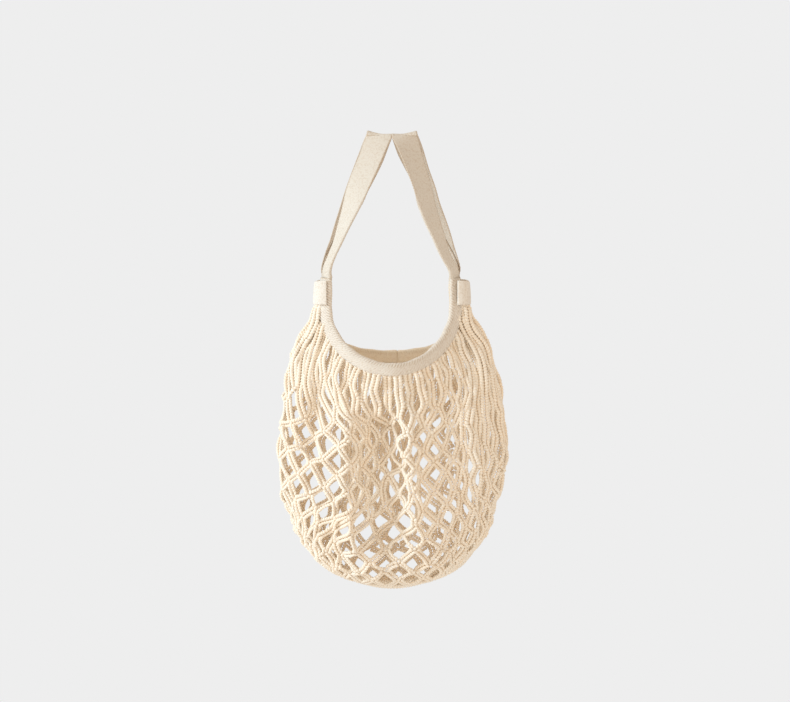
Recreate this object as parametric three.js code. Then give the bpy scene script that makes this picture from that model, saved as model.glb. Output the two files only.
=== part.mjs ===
// Net shopping bag of knitted cotton cord, hanging empty from a thin peg.
// Millimetres, +Z up. The origin is the peg, right under the tops of both strap loops.
// X runs across the bag, -Y is its front and +Y its back.
import * as THREE from 'three';
import { mergeVertices } from 'three/addons/utils/BufferGeometryUtils.js';

// Cotton tape: flat in the straps, folded in half over the net's edge round the mouth
const tapeWidth = 32;
const tapeThickness = 1.8;
const slotWidth = 3;

// Straps
const strapDrop = 172;
const strapTopRadius = 6;
const strapSpread = 13;
const strapLean = THREE.MathUtils.degToRad(16);
const pegClearance = 0.7;
const strapGap = 0.6;

// Mouth
const sideRun = 34;
const mouthSideDepth = 9;
const mouthBow = 38;
const rimLean = 0.12;
const frontMouthDrop = 72.5;
const backMouthDrop = 66;

// What differs between the two sides of the bag
const left = {
  sign: -1, mouth: 76, tabLap: 8.6, tabRun: 16, backShift: 5, strapTurn: THREE.MathUtils.degToRad(80),
};
const right = {
  sign: 1, mouth: 70, tabLap: 2.6, tabRun: 16, backShift: 8, strapTurn: THREE.MathUtils.degToRad(25),
};
const sides = [left, right];

// Side tabs
const tabHeight = 32;
const tabBelowJoint = 4;
const tabCornerRadius = 8;
const tabNetRoom = 2;

// Net
const bagHalfWidth = 143.5;
const bagHalfDepth = 62;
const sideLength = 275;
const bottomBow = 78;
const netThickness = 5;
const netEdgeThickness = 2;
const netTuck = 8;
const netSideStart = 3;

// Clearances
const jointGap = 0.3;
const tabGap = 0.3;
const slotExit = 0.5;

// Mesh of the net: columns and half rows of its diamonds
const columns = 12;
const halfRows = 10;
const junctionHalfWidth = 0.2;
const junctionHalfHeight = 0.25;
const ringSteps = 96;
const tabSteps = 2;

// Worked out from the sizes above
const spineWidth = slotWidth + tapeThickness;
const legWidth = (tapeWidth - spineWidth) / 2;
const tapePeak = (tapeWidth / 2) * Math.sin(strapLean) + tapeThickness / 2 + pegClearance;
const strapTopX = tapeWidth / 2 + strapGap / 2;
const mouthTop = -strapDrop - sideRun;
const halfColumns = 2 * columns;
const tabShare = tabSteps / ringSteps;

// Shape of each strap leg from the top of its loop, down as a share of the leg's height,
// out as a share of the way from the loop's top to the mouth's side, turn, spread and fold
// as shares of strapTurn, strapSpread and a full fold in half.
const leftLeg = [
  { down: 0, out: 0, turn: 0, spread: 0, fold: 0 },
  { down: 0.1, out: 0.13, turn: 0.1, spread: 0.12, fold: 0.06 },
  { down: 0.24, out: 0.3, turn: 0.2, spread: 0.38, fold: 0.2 },
  { down: 0.39, out: 0.49, turn: 0.33, spread: 0.7, fold: 0.39 },
  { down: 0.6, out: 0.69, turn: 0.56, spread: 0.95, fold: 0.63 },
  { down: 0.78, out: 0.89, turn: 0.8, spread: 1, fold: 0.86 },
  { down: 0.88, out: 1.02, turn: 1, spread: 0.8, fold: 1 },
  { down: 0.95, out: 1.01, turn: 0.5, spread: 0.3, fold: 1 },
  { down: 1, out: 1, turn: 0, spread: 0, fold: 1 },
];
const rightLeg = [
  { down: 0, out: 0, turn: 0, spread: 0, fold: 0 },
  { down: 0.1, out: 0.1, turn: 0.35, spread: 0.12, fold: 0.05 },
  { down: 0.3, out: 0.32, turn: 1, spread: 0.5, fold: 0.15 },
  { down: 0.52, out: 0.52, turn: 1, spread: 0.9, fold: 0.38 },
  { down: 0.67, out: 0.66, turn: 1, spread: 1, fold: 0.48 },
  { down: 0.85, out: 0.8, turn: 0.95, spread: 0.7, fold: 0.68 },
  { down: 0.93, out: 0.9, turn: 0.55, spread: 0.3, fold: 0.9 },
  { down: 1, out: 1, turn: 0, spread: 0, fold: 1 },
];

// Shape of the hanging net from the mouth to the bottom fold: width and depth as shares of
// bagHalfWidth and bagHalfDepth, centre as the share of the way down that the middle has gone.
const netRows = [
  { down: 0, width: 0.625, depth: 0.77, centre: 0 },
  { down: 0.125, width: 0.804, depth: 0.855, centre: 0.128 },
  { down: 0.25, width: 0.88, depth: 0.927, centre: 0.259 },
  { down: 0.375, width: 0.935, depth: 0.984, centre: 0.389 },
  { down: 0.5, width: 0.983, depth: 1, centre: 0.519 },
  { down: 0.625, width: 1, depth: 0.952, centre: 0.65 },
  { down: 0.75, width: 0.983, depth: 0.806, centre: 0.777 },
  { down: 0.875, width: 0.942, depth: 0.5, centre: 0.907 },
  { down: 1, width: 0.849, depth: 0, centre: 1 },
];

// Folds that the empty net hangs in: face -1 is the front and 1 the back, place at the top
// and the foot and width as shares of the half width, deep as a share of bagHalfDepth (a ridge
// is below zero), from and to as shares of the way down.
const netFolds = [
  { face: -1, top: -0.1, foot: -0.05, width: 0.22, deep: 0.35, from: 0.06, to: 0.88 },
  { face: -1, top: -0.46, foot: -0.38, width: 0.12, deep: -0.11, from: 0.1, to: 0.9 },
  { face: -1, top: 0.09, foot: 0.23, width: 0.09, deep: -0.15, from: 0.1, to: 0.9 },
  { face: -1, top: -0.78, foot: -0.74, width: 0.1, deep: 0.15, from: 0.02, to: 0.5 },
  { face: -1, top: 0.55, foot: 0.6, width: 0.12, deep: 0.1, from: 0.05, to: 0.8 },
  { face: 1, top: -0.25, foot: -0.2, width: 0.2, deep: 0.22, from: 0.06, to: 0.85 },
  { face: 1, top: 0.4, foot: 0.42, width: 0.16, deep: 0.19, from: 0.06, to: 0.85 },
];
const foldEase = 0.15;

const { clamp, lerp, smoothstep } = THREE.MathUtils;
const up = new THREE.Vector3(0, 0, 1);

// A column of a table at a place between its rows, on a smooth curve through them
function readTable(rows, column, down) {
  const last = rows.length - 1;
  let row = 0;
  while (row < last - 1 && down > rows[row + 1].down) {
    row += 1;
  }
  const slopeAt = (index) => {
    const before = rows[Math.max(index - 1, 0)];
    const after = rows[Math.min(index + 1, last)];
    return (after[column] - before[column]) / (after.down - before.down);
  };
  const start = rows[row];
  const end = rows[row + 1];
  const span = end.down - start.down;
  const x = clamp((down - start.down) / span, 0, 1);
  return (2 * x ** 3 - 3 * x ** 2 + 1) * start[column] + (x ** 3 - 2 * x ** 2 + x) * span * slopeAt(row)
    + (3 * x ** 2 - 2 * x ** 3) * end[column] + (x ** 3 - x ** 2) * span * slopeAt(row + 1);
}

function solidFrom(name, positions, index, material) {
  const geometry = new THREE.BufferGeometry();
  geometry.setAttribute('position', new THREE.Float32BufferAttribute(positions, 3));
  geometry.setIndex(index);
  geometry.computeVertexNormals();
  const mesh = new THREE.Mesh(geometry, material);
  mesh.name = name;
  return mesh;
}

const tapeCotton = new THREE.MeshStandardMaterial({ color: 0xe6dcc6, roughness: 0.85, metalness: 0 });
const cordCotton = new THREE.MeshStandardMaterial({ color: 0xeee6d2, roughness: 0.9, metalness: 0 });

// Tape

// The eight corners of the tape's cross-section. Its middle line is leg, spine, leg: the first
// leg lies away from the mouth, and the second swings back over the net as fold goes to 1.
function tapeSection({ point, across, out, fold }) {
  const opening = Math.PI * fold;
  const turned = (angle) => ({
    along: across.clone().multiplyScalar(Math.cos(angle)).addScaledVector(out, -Math.sin(angle)),
    face: out.clone().multiplyScalar(Math.cos(angle)).addScaledVector(across, Math.sin(angle)),
  });
  const parts = [turned(0), turned(opening / 2), turned(opening)];
  const firstCorner = point.clone().addScaledVector(parts[1].along, -spineWidth / 2);
  const secondCorner = point.clone().addScaledVector(parts[1].along, spineWidth / 2);
  const line = [
    firstCorner.clone().addScaledVector(parts[0].along, -legWidth),
    firstCorner,
    secondCorner,
    secondCorner.clone().addScaledVector(parts[2].along, legWidth),
  ];
  const mitre = 1 / (1 + Math.cos(opening / 2));
  const offsets = [
    parts[0].face.clone(),
    parts[0].face.clone().add(parts[1].face).multiplyScalar(mitre),
    parts[1].face.clone().add(parts[2].face).multiplyScalar(mitre),
    parts[2].face.clone(),
  ];
  const shifted = (distance) => line.map((at, corner) => at.clone().addScaledVector(offsets[corner], distance));
  return { outer: shifted(tapeThickness / 2), inner: shifted(-tapeThickness / 2) };
}

// Tape swept through its stations, closed at both ends
function tapeSolid(name, stations) {
  const positions = [];
  const index = [];
  const corners = 8;
  const quad = (a, b, c, d) => index.push(a, b, c, a, c, d);
  for (const station of stations) {
    const { outer, inner } = tapeSection(station);
    for (const corner of [...inner, ...outer.reverse()]) {
      positions.push(...corner.toArray());
    }
  }
  for (let ring = 0; ring < stations.length - 1; ring += 1) {
    const here = ring * corners;
    const next = here + corners;
    for (let corner = 0; corner < corners; corner += 1) {
      const beside = (corner + 1) % corners;
      quad(here + corner, here + beside, next + beside, next + corner);
    }
  }
  const end = (stations.length - 1) * corners;
  for (let part = 0; part < 3; part += 1) {
    quad(part + corners - 1 - 2 * part, part + corners - 2 - 2 * part, part + 1, part);
    quad(end + part, end + part + 1, end + corners - 2 - part, end + corners - 1 - part);
  }
  return solidFrom(name, positions, index, tapeCotton);
}

// Unit vector across the tape: the wanted direction made square to the way the tape runs
function squareTo(along, wanted) {
  return wanted.clone().addScaledVector(along, -wanted.dot(along)).normalize();
}

// Mouth

// Middle of the folded tape's spine round the mouth: angle 0 at the left side, pi at the right
function rimPoint(angle, face) {
  const reach = Math.cos(angle) > 0 ? left.mouth : right.mouth;
  const drop = face < 0 ? frontMouthDrop : backMouthDrop;
  const bow = Math.max(Math.sin(angle), 0);
  return new THREE.Vector3(
    -Math.cos(angle) * reach,
    face * (mouthSideDepth + mouthBow * bow ** 1.8),
    mouthTop - drop * bow,
  );
}

function rimStation(angle, face) {
  const step = 0.002;
  const before = rimPoint(Math.max(angle - step, 0), face);
  const after = rimPoint(Math.min(angle + step, Math.PI), face);
  const along = after.sub(before).normalize().multiplyScalar(-face);
  const wanted = new THREE.Vector3(Math.cos(angle), -face * rimLean * Math.sin(angle), Math.sin(angle));
  const across = squareTo(along, wanted);
  const out = new THREE.Vector3().crossVectors(along, across);
  return { point: rimPoint(angle, face), across, out, fold: 1 };
}

function rim(name, face) {
  const stations = [];
  const straight = (side) => {
    const end = rimStation(side.sign < 0 ? 0 : Math.PI, face);
    return [-strapDrop - jointGap / 2, lerp(-strapDrop, mouthTop, 0.5)].map((height) => (
      { ...end, point: end.point.clone().setZ(height) }));
  };
  const curve = [];
  for (let step = 0; step <= ringSteps / 2; step += 1) {
    curve.push(rimStation((2 * Math.PI * step) / ringSteps, face));
  }
  stations.push(...straight(left), ...curve, ...straight(right).reverse());
  if (face > 0) {
    stations.reverse();
  }
  return tapeSolid(name, stations);
}

// Straps

// One loop of tape from the front of the mouth, up over the peg and down to the back
function strap(name, side, rows) {
  const legSteps = 22;
  const topSteps = 8;
  const legTop = tapePeak - strapTopRadius;
  const route = [];
  const legPlace = (down, face) => {
    const spread = readTable(rows, 'spread', down);
    const depth = lerp(strapTopRadius, mouthSideDepth, down) + strapSpread * spread;
    const shift = face > 0 ? side.backShift * spread : 0;
    const foot = -strapDrop + jointGap / 2;
    return {
      point: new THREE.Vector3(
        side.sign * (lerp(strapTopX, side.mouth, readTable(rows, 'out', down)) + shift),
        face * depth,
        lerp(legTop, foot, down),
      ),
      turn: side.strapTurn * readTable(rows, 'turn', down),
      fold: clamp(readTable(rows, 'fold', down), 0, 1),
      lean: strapLean * (1 - smoothstep(down, 0.1, 0.6)),
      upright: down === 1,
    };
  };
  for (let step = legSteps; step >= 0; step -= 1) {
    route.push(legPlace(step / legSteps, -1));
  }
  for (let step = 1; step < topSteps; step += 1) {
    const angle = (Math.PI * step) / topSteps;
    const point = new THREE.Vector3(
      side.sign * strapTopX,
      -strapTopRadius * Math.cos(angle),
      legTop + strapTopRadius * Math.sin(angle),
    );
    route.push({ point, turn: 0, fold: 0, lean: strapLean, upright: false });
  }
  for (let step = 0; step <= legSteps; step += 1) {
    route.push(legPlace(step / legSteps, 1));
  }
  if (side.sign < 0) {
    route.reverse();
  }
  const stations = route.map((place, index) => {
    const before = route[Math.max(index - 1, 0)].point;
    const after = route[Math.min(index + 1, route.length - 1)].point;
    const along = after.clone().sub(before).normalize();
    if (place.upright) {
      along.set(0, 0, Math.sign(along.z));
    }
    const wanted = new THREE.Vector3(-side.sign * Math.cos(place.lean), 0, -Math.sin(place.lean));
    const level = squareTo(along, wanted);
    const face = new THREE.Vector3().crossVectors(along, level);
    const across = level.multiplyScalar(Math.cos(place.turn)).addScaledVector(face, Math.sin(place.turn));
    const out = new THREE.Vector3().crossVectors(along, across);
    return { point: place.point, across, out, fold: place.fold };
  });
  return tapeSolid(name, stations);
}

// Side tabs

const tabInnerDepth = mouthSideDepth + slotWidth / 2 + tapeThickness + tabGap;
const tabStart = (side) => side.mouth + legWidth - side.tabLap;
const tabEnd = (side) => tabStart(side) + side.tabRun;

// A short length of tape bent round the gathered side of the net and the ends of both rims
function sideTab(name, side) {
  const outerDepth = tabInnerDepth + tapeThickness;
  const start = tabStart(side);
  const end = tabEnd(side);
  const centre = end - tabCornerRadius;
  const innerRadius = tabCornerRadius - tapeThickness;
  const outerTurn = outerDepth - tabCornerRadius;
  const shape = new THREE.Shape();
  shape.moveTo(start, -outerDepth);
  shape.lineTo(centre, -outerDepth);
  shape.absarc(centre, -outerTurn, tabCornerRadius, -Math.PI / 2, 0);
  shape.lineTo(end, outerTurn);
  shape.absarc(centre, outerTurn, tabCornerRadius, 0, Math.PI / 2);
  shape.lineTo(start, outerDepth);
  shape.lineTo(start, tabInnerDepth);
  shape.lineTo(centre, tabInnerDepth);
  shape.absarc(centre, outerTurn, innerRadius, Math.PI / 2, 0, true);
  shape.lineTo(end - tapeThickness, -outerTurn);
  shape.absarc(centre, -outerTurn, innerRadius, 0, -Math.PI / 2, true);
  shape.lineTo(start, -tabInnerDepth);
  shape.closePath();
  const extruded = new THREE.ExtrudeGeometry(shape, { depth: tabHeight, bevelEnabled: false, curveSegments: 5 });
  extruded.deleteAttribute('normal');
  extruded.deleteAttribute('uv');
  const geometry = mergeVertices(extruded, 1e-4);
  if (side.sign < 0) {
    geometry.rotateZ(Math.PI);
  }
  geometry.computeVertexNormals();
  const mesh = new THREE.Mesh(geometry, tapeCotton);
  mesh.position.z = -strapDrop - tabBelowJoint - tabHeight;
  mesh.name = name;
  return mesh;
}

// Net

// Height of the pull of every fold on one face at a place, in millimetres towards the inside
function foldDepth(face, across, down) {
  let depth = 0;
  for (const fold of netFolds) {
    if (fold.face === face) {
      const away = (across - lerp(fold.top, fold.foot, down)) / fold.width;
      const ease = smoothstep(down, fold.from, fold.from + foldEase)
        * (1 - smoothstep(down, fold.to - foldEase, fold.to));
      depth += bagHalfDepth * fold.deep * ease * Math.exp(-away * away);
    }
  }
  return depth;
}

// The hanging net below the mouth: round is the share of the way round, from the left side
// over the front, and down the share of the way from the mouth to the bottom fold
function hangingPoint(round, down) {
  const face = round < 0.5 ? -1 : 1;
  const across = -Math.cos(2 * Math.PI * round);
  const bulge = Math.abs(Math.sin(2 * Math.PI * round));
  const roundness = lerp(2, 1.7, down);
  const sag = Math.max(1 - Math.abs(across) ** roundness, 0) ** (1 / roundness);
  const drop = face < 0 ? frontMouthDrop : backMouthDrop;
  const sideHeight = mouthTop - netSideStart - sideLength * down;
  const centreTop = mouthTop - drop - legWidth - slotExit;
  const centreFoot = mouthTop - netSideStart - sideLength - bottomBow;
  const centreHeight = lerp(centreTop, centreFoot, readTable(netRows, 'centre', down));
  const depth = bagHalfDepth * readTable(netRows, 'depth', down) * bulge;
  return new THREE.Vector3(
    bagHalfWidth * readTable(netRows, 'width', down) * across,
    face * (depth - foldDepth(face, across, down) * Math.sqrt(bulge)),
    lerp(sideHeight, centreHeight, sag),
  );
}

// Where the net leaves the tape, and which way it is tucked in: inside the rim's slot, or up
// into the side tab for the short stretch that the tab gathers
function mouthEdge(round) {
  const face = round < 0.5 ? -1 : 1;
  const nearLeft = Math.min(round, 1 - round);
  const nearRight = Math.abs(round - 0.5);
  const gathered = Math.min(nearLeft, nearRight) < tabShare - 1e-9;
  const rimAngle = (place) => 2 * Math.PI * Math.min(place, 1 - place);
  const leaveRim = (angle) => {
    const station = rimStation(angle, face);
    return {
      point: station.point.clone().addScaledVector(station.across, -legWidth - slotExit),
      tuckWay: station.across,
      tuck: slotExit + netTuck * smoothstep(Math.sin(angle), Math.sin(2 * Math.PI * tabShare), 0.5),
      leave: up.clone().negate().lerp(station.across.clone().negate(), Math.sin(angle)).normalize(),
    };
  };
  if (!gathered) {
    return leaveRim(rimAngle(round));
  }
  const side = nearLeft < nearRight ? left : right;
  const away = Math.min(nearLeft, nearRight) / tabShare;
  const corner = leaveRim(side.sign < 0 ? 2 * Math.PI * tabShare : Math.PI - 2 * Math.PI * tabShare);
  const apex = tabEnd(side) - tapeThickness - tabNetRoom - netEdgeThickness / 2;
  const tabFoot = -strapDrop - tabBelowJoint - tabHeight;
  return {
    point: new THREE.Vector3(
      side.sign * lerp(apex, Math.abs(corner.point.x), away ** 2),
      corner.point.y * away ** 0.8,
      lerp(tabFoot + tabNetRoom, corner.point.z, away ** 2),
    ),
    tuckWay: up.clone(),
    tuck: netTuck * (1 - away ** 2) + slotExit,
    leave: up.clone().negate(),
  };
}

const fadeIn = 0.3;

// Middle of the net's wall. Past the bottom fold the front goes on up the back.
function netPoint(round, down) {
  if (down > 1) {
    return netPoint(-round, 2 - down);
  }
  const place = round - Math.floor(round);
  const edge = mouthEdge(place);
  const straightDown = edge.point.clone().addScaledVector(edge.leave, sideLength * down);
  return straightDown.lerp(hangingPoint(place, down), smoothstep(down, 0, fadeIn));
}

function netOut(round, down) {
  const step = 0.004;
  const downward = netPoint(round, down + step).sub(netPoint(round, Math.max(down - step, 0)));
  const onward = netPoint(round + step, down).sub(netPoint(round - step, down));
  return downward.cross(onward).normalize();
}

// One sheet of corners and triangles seen from outside, then given its thickness
function netBody(name) {
  const corners = [];
  const faces = [];
  const known = new Map();

  // A corner of the diamonds at a column and a half row, one corner for both faces at the fold
  const knot = (column, row) => {
    let at = column;
    let level = row;
    if (level > halfRows + 1e-6) {
      at = -at;
      level = 2 * halfRows - level;
    }
    at = ((at % halfColumns) + halfColumns) % halfColumns;
    if (Math.abs(level - halfRows) < 1e-6 && at > columns) {
      at = halfColumns - at;
    }
    const key = `${Math.round(at * 1000) % (halfColumns * 1000)},${Math.round(level * 1000)}`;
    if (!known.has(key)) {
      const round = at / halfColumns;
      const down = level / halfRows;
      const growth = smoothstep(down, 0, junctionHalfHeight / halfRows);
      known.set(key, corners.length);
      corners.push({
        point: netPoint(round, down),
        out: netOut(round, down),
        half: lerp(netEdgeThickness, netThickness, growth) / 2,
      });
    }
    return known.get(key);
  };
  const face = (a, b, c) => {
    if (a !== b && b !== c && c !== a) {
      faces.push([a, b, c]);
    }
  };
  const quad = (a, b, c, d) => {
    face(a, b, c);
    face(a, c, d);
  };

  // The plain band that is tucked into the tape: an upper ring and the ring where it leaves
  const upper = [];
  const lower = [];
  for (let step = 0; step < ringSteps; step += 1) {
    const round = step / ringSteps;
    const edge = mouthEdge(round);
    const wrap = (place) => mouthEdge(place - Math.floor(place)).point;
    const onward = wrap(round + 1 / ringSteps).sub(wrap(round - 1 / ringSteps));
    const out = edge.tuckWay.clone().negate().cross(onward).normalize();
    const half = netEdgeThickness / 2;
    upper.push(corners.push({ point: edge.point.clone().addScaledVector(edge.tuckWay, edge.tuck), out, half }) - 1);
    lower.push(corners.push({ point: edge.point, out, half }) - 1);
  }
  for (let step = 0; step < ringSteps; step += 1) {
    const next = (step + 1) % ringSteps;
    quad(upper[step], lower[step], lower[next], upper[next]);
  }

  const wide = junctionHalfWidth;
  const high = junctionHalfHeight;
  // Half way along the two edges of a strand that goes down from a junction to one side
  const upperMiddle = (column, row, way) => knot(column + (way * (1 + wide)) / 2, row + (1 - high) / 2);
  const lowerMiddle = (column, row, way) => knot(column + (way * (1 - wide)) / 2, row + (1 + high) / 2);

  // Closed stretch between the band and the first diamonds
  const ringPerHalfColumn = ringSteps / halfColumns;
  for (let column = 0; column < halfColumns; column += 2) {
    const first = column * ringPerHalfColumn;
    const above = [];
    for (let step = 0; step <= 2 * ringPerHalfColumn; step += 1) {
      above.push({ at: step / ringPerHalfColumn, corner: lower[(first + step) % ringSteps] });
    }
    const below = [
      { at: 0, corner: knot(column, high) },
      { at: 0.5, corner: lowerMiddle(column, 0, 1) },
      { at: 1 - wide, corner: knot(column + 1 - wide, 1) },
      { at: 1, corner: knot(column + 1, 1 - high) },
      { at: 1 + wide, corner: knot(column + 1 + wide, 1) },
      { at: 1.5, corner: lowerMiddle(column + 2, 0, -1) },
      { at: 2, corner: knot(column + 2, high) },
    ];
    let top = 0;
    let foot = 0;
    while (top < above.length - 1 || foot < below.length - 1) {
      const lastTop = top === above.length - 1;
      const lastFoot = foot === below.length - 1;
      if (lastTop || (!lastFoot && below[foot + 1].at < above[top + 1].at)) {
        face(above[top].corner, below[foot].corner, below[foot + 1].corner);
        foot += 1;
      } else {
        face(above[top].corner, below[foot].corner, above[top + 1].corner);
        top += 1;
      }
    }
  }

  // Junctions and the strands that leave them downwards
  for (let row = 1; row <= halfRows; row += 1) {
    for (let column = row % 2; column < halfColumns; column += 2) {
      if (row < halfRows || column <= columns) {
        quad(knot(column, row - high), knot(column - wide, row), knot(column, row + high), knot(column + wide, row));
      }
      if (row < halfRows) {
        for (const way of [-1, 1]) {
          const strand = [
            knot(column + way * wide, row), upperMiddle(column, row, way), knot(column + way, row + 1 - high),
            knot(column + way * (1 - wide), row + 1), lowerMiddle(column, row, way), knot(column, row + high),
          ];
          const [a, b, c, d, e, f] = way < 0 ? strand : strand.reverse();
          quad(a, b, e, f);
          quad(b, c, d, e);
        }
      }
    }
  }

  const positions = [];
  const index = [];
  for (const { point, out, half } of corners) {
    positions.push(...point.clone().addScaledVector(out, half).toArray());
  }
  for (const { point, out, half } of corners) {
    positions.push(...point.clone().addScaledVector(out, -half).toArray());
  }
  const inside = corners.length;
  const edges = new Map();
  for (const [a, b, c] of faces) {
    index.push(a, b, c, inside + a, inside + c, inside + b);
    for (const [from, to] of [[a, b], [b, c], [c, a]]) {
      edges.set(`${from},${to}`, [from, to]);
    }
  }
  for (const [from, to] of edges.values()) {
    if (!edges.has(`${to},${from}`)) {
      index.push(from, inside + from, inside + to, from, inside + to, to);
    }
  }
  return solidFrom(name, positions, index, cordCotton);
}

const bag = new THREE.Group();
bag.add(netBody('net_body'));
bag.add(rim('front_rim_tape', -1));
bag.add(rim('back_rim_tape', 1));
bag.add(strap('left_strap', left, leftLeg));
bag.add(strap('right_strap', right, rightLeg));
for (const side of sides) {
  bag.add(sideTab(side.sign < 0 ? 'left_side_tab' : 'right_side_tab', side));
}

export default bag;
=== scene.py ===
# %% [markdown]
# # A knitted net bag that hangs by its two strap loops
# The bag is one endless cotton tape, folded over the mouth of a knitted net and left free above
# it as two loops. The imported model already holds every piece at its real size, so this script
# loads it as a fixed frame and gives each piece its real surface.

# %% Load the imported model
import math
import random

import bmesh
import bpy
from mathutils import Matrix, Vector


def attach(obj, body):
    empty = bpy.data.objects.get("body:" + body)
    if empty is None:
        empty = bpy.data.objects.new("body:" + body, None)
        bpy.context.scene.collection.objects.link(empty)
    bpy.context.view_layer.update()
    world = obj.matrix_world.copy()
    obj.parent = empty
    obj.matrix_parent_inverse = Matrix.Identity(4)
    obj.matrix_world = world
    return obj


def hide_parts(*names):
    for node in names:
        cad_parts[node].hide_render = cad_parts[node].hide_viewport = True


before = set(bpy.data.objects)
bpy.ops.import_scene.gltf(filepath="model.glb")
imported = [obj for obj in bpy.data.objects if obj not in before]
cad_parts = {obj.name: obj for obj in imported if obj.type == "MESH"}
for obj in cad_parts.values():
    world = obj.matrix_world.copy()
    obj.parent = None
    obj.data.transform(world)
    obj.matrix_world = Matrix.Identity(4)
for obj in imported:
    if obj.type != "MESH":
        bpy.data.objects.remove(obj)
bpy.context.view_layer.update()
MM = 0.001
print("nodes:", sorted(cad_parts))

# %% [markdown]
# ## Camera, light and floor
# The bag hangs at eye height in front of a pale wall. A long lens from two and a half metres
# keeps its sides parallel. The world is bright and even, and one wide soft lamp on the left
# brings out the folds. A weak warm lamp low in front stands for the light that a pale floor
# throws back up. The wall's tone is only what the camera sees of the world, so that it doesn't
# add light to the bag. The floor itself lies well below.

# %% Camera
CAMERA_AIM = Vector((3.75, 0, -263.5)) * MM
CAMERA_DISTANCE = 2.5
CAMERA_ELEVATION = math.radians(5.5)
VIEW_WIDTH = 0.9875
SENSOR_WIDTH = 36


def put_object(name, data):
    thing = bpy.data.objects.new(name, data)
    bpy.context.scene.collection.objects.link(thing)
    return thing


def add_camera():
    camera_data = bpy.data.cameras.new("camera")
    camera_data.sensor_width = SENSOR_WIDTH
    camera_data.lens = SENSOR_WIDTH * CAMERA_DISTANCE / VIEW_WIDTH
    camera = put_object("camera", camera_data)
    back = Vector((0, -math.cos(CAMERA_ELEVATION), math.sin(CAMERA_ELEVATION)))
    camera.location = CAMERA_AIM + back * CAMERA_DISTANCE
    camera.rotation_euler = back.to_track_quat("Z", "Y").to_euler()
    bpy.context.scene.camera = camera
    return camera


camera = add_camera()
print("lens in mm:", round(camera.data.lens, 1))

# %% Light
WALL_TONE = (0.855, 0.855, 0.855, 1)
ROOM_LIGHT = (1.0, 0.9, 0.79, 1)
ROOM_STRENGTH = 0.77


def feed(tree, node, **inputs):
    """Set a node's inputs by name, or link them where the value is another node's output."""
    for name, value in inputs.items():
        target = node.inputs[name.replace("_", " ")]
        if isinstance(value, bpy.types.NodeSocket):
            tree.links.new(value, target)
        else:
            target.default_value = value
    return node


def new_node(tree, kind, **inputs):
    return feed(tree, tree.nodes.new(kind), **inputs)


def set_world():
    world = bpy.data.worlds.new("pale_room")
    bpy.context.scene.world = world
    world.use_nodes = True
    tree = world.node_tree
    tree.nodes.clear()
    wall = new_node(tree, "ShaderNodeBackground", Color=WALL_TONE)
    room = new_node(tree, "ShaderNodeBackground", Color=ROOM_LIGHT, Strength=ROOM_STRENGTH)
    path = new_node(tree, "ShaderNodeLightPath")
    mix = new_node(tree, "ShaderNodeMixShader", Fac=path.outputs["Is Camera Ray"])
    tree.links.new(room.outputs["Background"], mix.inputs[1])
    tree.links.new(wall.outputs["Background"], mix.inputs[2])
    new_node(tree, "ShaderNodeOutputWorld", Surface=mix.outputs["Shader"])


def add_lamp(name, place, size, power, colour):
    lamp_data = bpy.data.lights.new(name, "AREA")
    lamp_data.color = colour
    lamp_data.size = size
    lamp_data.energy = power
    lamp = put_object(name, lamp_data)
    lamp.location = Vector(place)
    toward = Vector(place) - CAMERA_AIM
    lamp.rotation_euler = toward.to_track_quat("Z", "Y").to_euler()


set_world()
add_lamp("window_lamp", place=(-2.4, -0.75, 0.45), size=0.9, power=48, colour=(0.68, 0.86, 1.0))
add_lamp("low_fill", place=(0.1, -1.2, -1.55), size=1.2, power=14, colour=(1.0, 0.92, 0.82))
bpy.context.scene.view_settings.view_transform = "Standard"
print("lamps:", len(bpy.data.lights))

# %% Floor
FLOOR_DROP = 1.15
FLOOR_RADIUS = 1.1
FLOOR_SIDES = 96
FLOOR_TONE = (0.8, 0.8, 0.8, 1)
FLOOR_ROUGHNESS = 0.8


def new_material(name, **values):
    material = bpy.data.materials.new(name)
    material.use_nodes = True
    surface = material.node_tree.nodes["Principled BSDF"]
    feed(material.node_tree, surface, **values)
    return material, material.node_tree, surface


def object_from(bm, name, material):
    mesh = bpy.data.meshes.new(name)
    bm.to_mesh(mesh)
    bm.free()
    mesh.polygons.foreach_set("use_smooth", [True] * len(mesh.polygons))
    mesh.materials.append(material)
    return put_object(name, mesh)


def add_floor():
    bm = bmesh.new()
    bmesh.ops.create_circle(bm, cap_ends=True, segments=FLOOR_SIDES, radius=FLOOR_RADIUS)
    bmesh.ops.translate(bm, verts=bm.verts, vec=(0, 0, -FLOOR_DROP))
    pale, *_ = new_material("pale_floor", Base_Color=FLOOR_TONE, Roughness=FLOOR_ROUGHNESS)
    floor = object_from(bm, "floor", pale)


add_floor()
print("floor in mm below the peg:", FLOOR_DROP / MM)

# %% [markdown]
# ## Small tools
# A short table with named columns holds a shape as a few rows, and a smooth curve through the
# rows gives every place between them. The same curve and the same sizes as the model's keep each
# new piece in its solid's place.

# %% Tables and easing


def lerp(start, end, share):
    return start + (end - start) * share


def smoothstep(value, low, high):
    share = min(max((value - low) / (high - low), 0), 1)
    return share * share * (3 - 2 * share)


def table(columns, rows):
    return [dict(zip(columns, row)) for row in rows]


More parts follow.
